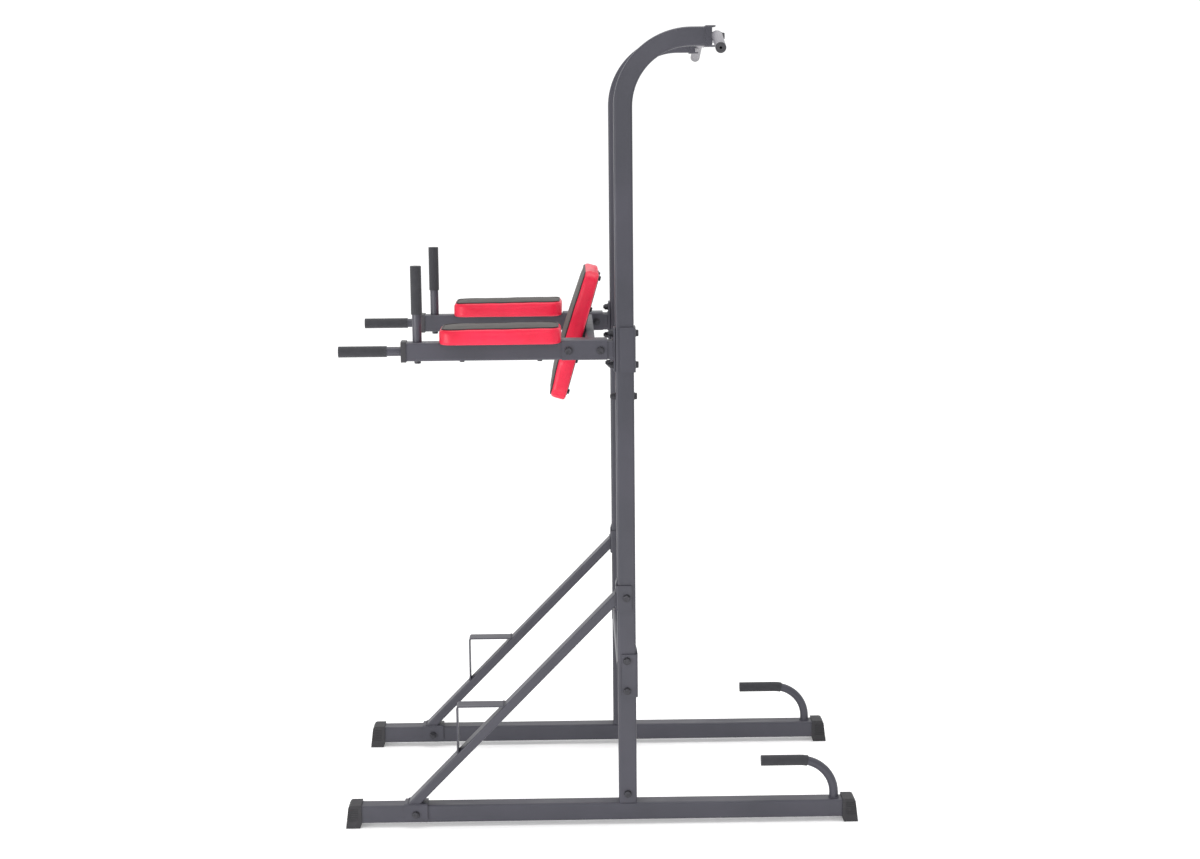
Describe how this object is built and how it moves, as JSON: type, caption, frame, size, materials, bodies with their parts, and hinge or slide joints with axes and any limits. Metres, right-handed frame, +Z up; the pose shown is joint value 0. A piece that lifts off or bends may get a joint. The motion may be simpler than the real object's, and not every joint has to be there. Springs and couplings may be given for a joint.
{
  "type": "power tower",
  "caption": "Free-standing steel power tower with a pull-up bar, padded dip arms with upright and forward grips, a tilted backrest, push-up handles and foot steps.",
  "frame": {"origin": "on the floor under the middle of the frame: midway between the side frames and midway between the front and rear feet", "axes": "+Z up; +X to the left hand of a user who stands in the tower with their back to the backrest; the user faces -Y and the posts stand on the +Y side of the arms"},
  "size_m": [1.0672, 1.432, 2.192],
  "materials": {
    "frame_paint": "fine-texture powder coat, dark grey",
    "bar_paint": "light grey powder coat",
    "foot_rubber": "matt moulded rubber with ribs",
    "cap_plastic": "matt moulded plastic",
    "grip_rubber": "matt soft rubber sleeve",
    "red_vinyl": "satin synthetic leather",
    "board": "black-stained plywood",
    "black_zinc": "black zinc plate"
  },
  "bodies": {
    "root": {"base_rail_left": "frame_paint", "base_rail_right": "frame_paint", "rail_foot_front_left": "foot_rubber", "rail_foot_front_right": "foot_rubber", "rail_foot_rear_left": "foot_rubber", "rail_foot_rear_right": "foot_rubber", "post_spigots": "frame_paint", "lower_post_left": "frame_paint", "lower_post_right": "frame_paint", "upper_post_left": "frame_paint", "upper_post_right": "frame_paint", "joint_sleeves": "frame_paint", "joint_saddles": "frame_paint", "brace_left": "frame_paint", "brace_right": "frame_paint", "brace_foot_saddles": "frame_paint", "brace_head_saddles": "frame_paint", "foot_step_left": "frame_paint", "foot_step_right": "frame_paint", "lower_crossbar": "frame_paint", "crossbar_saddles": "frame_paint", "saddle_guards": "foot_rubber", "push_up_handle_left": "frame_paint", "push_up_handle_right": "frame_paint", "push_up_grips": "grip_rubber", "dip_arm_left": "frame_paint", "dip_arm_right": "frame_paint", "arm_flanges": "frame_paint", "arm_end_plates": "frame_paint", "arm_end_caps": "cap_plastic", "forward_handles": "frame_paint", "forward_grips": "grip_rubber", "upright_handles": "frame_paint", "upright_grips": "grip_rubber", "arm_pad_left": "red_vinyl", "arm_pad_right": "red_vinyl", "arm_pad_boards": "board", "backrest_pad": "red_vinyl", "backrest_board": "board", "backrest_crossbar": "frame_paint", "backrest_saddles": "frame_paint", "backrest_straps": "frame_paint", "pull_up_bar": "bar_paint", "bar_cradles": "frame_paint", "bar_end_caps": "cap_plastic", "post_foot_bolts": "black_zinc", "brace_bolts": "black_zinc", "crossbar_bolts": "black_zinc", "joint_bolts": "black_zinc", "backrest_bolts": "black_zinc", "pull_up_bar_bolts": "black_zinc", "upright_handle_bolts": "black_zinc", "arm_pad_screws": "black_zinc", "backrest_screws": "black_zinc", "lock_nuts": "black_zinc", "washers": "black_zinc"}
  },
  "joints": []
}
